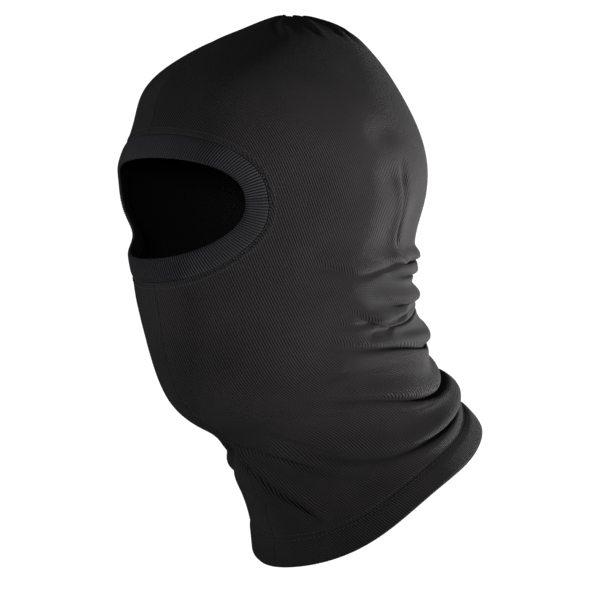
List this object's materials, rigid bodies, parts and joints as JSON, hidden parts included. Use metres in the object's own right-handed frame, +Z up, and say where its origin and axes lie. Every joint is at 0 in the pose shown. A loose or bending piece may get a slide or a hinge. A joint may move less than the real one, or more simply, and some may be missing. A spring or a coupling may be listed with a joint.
{
  "type": "knitted balaclava",
  "caption": "Close-fitting rib-knit balaclava with one wide eye opening edged by a folded band, a long neck and a stitched hem, shaped as worn.",
  "frame": {"origin": "middle of the wearer's head at its widest girth, level with the brow", "axes": "+Z up through the crown, -Y the way the face looks, +X the wearer's left; X = 0 is the plane of the centre seams"},
  "size_m": [0.1544, 0.2342, 0.3122],
  "materials": {
    "rib_knit": "fine rib knit, brushed microfibre and elastane, matt",
    "rib_trim": "folded rib knit band, matt",
    "sewing_thread": "textured polyester thread, slight sheen",
    "label_tape": "woven satin tape, blank"
  },
  "bodies": {
    "hood": {"left_panel": "rib_knit", "right_panel": "rib_knit", "hem_turn_up": "rib_knit", "eye_band": "rib_trim", "eye_band_join_thread": "sewing_thread", "eye_band_overlock_thread": "sewing_thread", "eye_band_topstitch_inner_row": "sewing_thread", "eye_band_topstitch_outer_row": "sewing_thread", "crown_and_nape_seam_thread": "sewing_thread", "chin_seam_thread": "sewing_thread", "hem_lower_needle_thread": "sewing_thread", "hem_upper_needle_thread": "sewing_thread", "hem_looper_thread": "sewing_thread", "care_label_stitches": "sewing_thread"},
    "label": {"care_label": "label_tape"}
  },
  "joints": [
    {"name": "label_flap", "type": "hinge", "parent": "hood", "child": "label", "pos_m": [0, 0.111, -0.105], "axis": [1, 0, 0], "range_deg": [-100, 30]}
  ]
}
